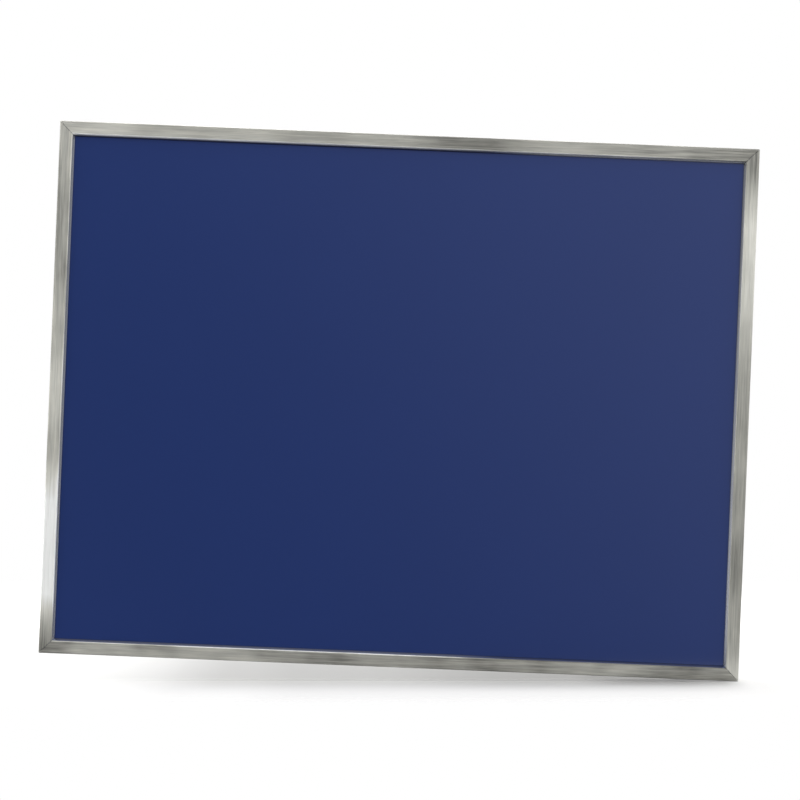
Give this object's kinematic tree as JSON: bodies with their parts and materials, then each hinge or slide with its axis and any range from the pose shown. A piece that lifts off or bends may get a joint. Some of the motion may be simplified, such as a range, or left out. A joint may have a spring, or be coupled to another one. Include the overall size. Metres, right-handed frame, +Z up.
{
  "type": "magnetic board",
  "caption": "Wall-hung magnetic board: a flat glossy steel sheet on a rigid core, held in a narrow mitred metal frame with swinging hanging rings behind.",
  "frame": {"origin": "on the wall's plane, straight behind the middle of the board", "axes": "+X to the right seen from the front, +Y into the wall, +Z up"},
  "size_m": [0.635, 0.023, 0.483],
  "materials": {
    "brushed_frame": "brushed lengthwise, warm grey",
    "blue_enamel": "smooth glossy enamel",
    "fibre_core": "pressed fibre board",
    "galvanised_back": "galvanised",
    "zinc_steel": "zinc plated",
    "spring_steel": "bright rolled",
    "bumper_rubber": "matte"
  },
  "bodies": {
    "board": {"frame_rail_bottom": "brushed_frame", "frame_rail_left": "brushed_frame", "frame_rail_top": "brushed_frame", "frame_rail_right": "brushed_frame", "magnetic_face_sheet": "blue_enamel", "core_board": "fibre_core", "back_sheet": "galvanised_back", "corner_angle_bottom_left": "zinc_steel", "backing_angle_bottom_left": "zinc_steel", "corner_screw_bottom_left_1": "zinc_steel", "corner_screw_bottom_left_2": "zinc_steel", "wall_bumper_bottom_left": "bumper_rubber", "corner_angle_top_left": "zinc_steel", "backing_angle_top_left": "zinc_steel", "corner_screw_top_left_1": "zinc_steel", "corner_screw_top_left_2": "zinc_steel", "wall_bumper_top_left": "bumper_rubber", "corner_angle_top_right": "zinc_steel", "backing_angle_top_right": "zinc_steel", "corner_screw_top_right_1": "zinc_steel", "corner_screw_top_right_2": "zinc_steel", "wall_bumper_top_right": "bumper_rubber", "corner_angle_bottom_right": "zinc_steel", "backing_angle_bottom_right": "zinc_steel", "corner_screw_bottom_right_1": "zinc_steel", "corner_screw_bottom_right_2": "zinc_steel", "wall_bumper_bottom_right": "bumper_rubber", "spring_clip_bottom_1": "spring_steel", "spring_clip_bottom_2": "spring_steel", "spring_clip_bottom_3": "spring_steel", "spring_clip_left_1": "spring_steel", "spring_clip_left_2": "spring_steel", "spring_clip_top_1": "spring_steel", "spring_clip_top_2": "spring_steel", "spring_clip_top_3": "spring_steel", "spring_clip_right_1": "spring_steel", "spring_clip_right_2": "spring_steel", "hanger_plate_left": "zinc_steel", "hanger_screw_left": "zinc_steel", "hanger_plate_right": "zinc_steel", "hanger_screw_right": "zinc_steel"},
    "ring_left": {"hanging_ring_left": "zinc_steel"},
    "ring_right": {"hanging_ring_right": "zinc_steel"}
  },
  "joints": [
    {"name": "ring_left_swing", "type": "hinge", "parent": "board", "child": "ring_left", "pos_m": [-0.3106, -0.0027, 0.1515], "axis": [1, 0, 0], "range_deg": [0, 180]},
    {"name": "ring_right_swing", "type": "hinge", "parent": "board", "child": "ring_right", "pos_m": [0.3106, -0.0027, 0.1515], "axis": [1, 0, 0], "range_deg": [0, 180]}
  ]
}
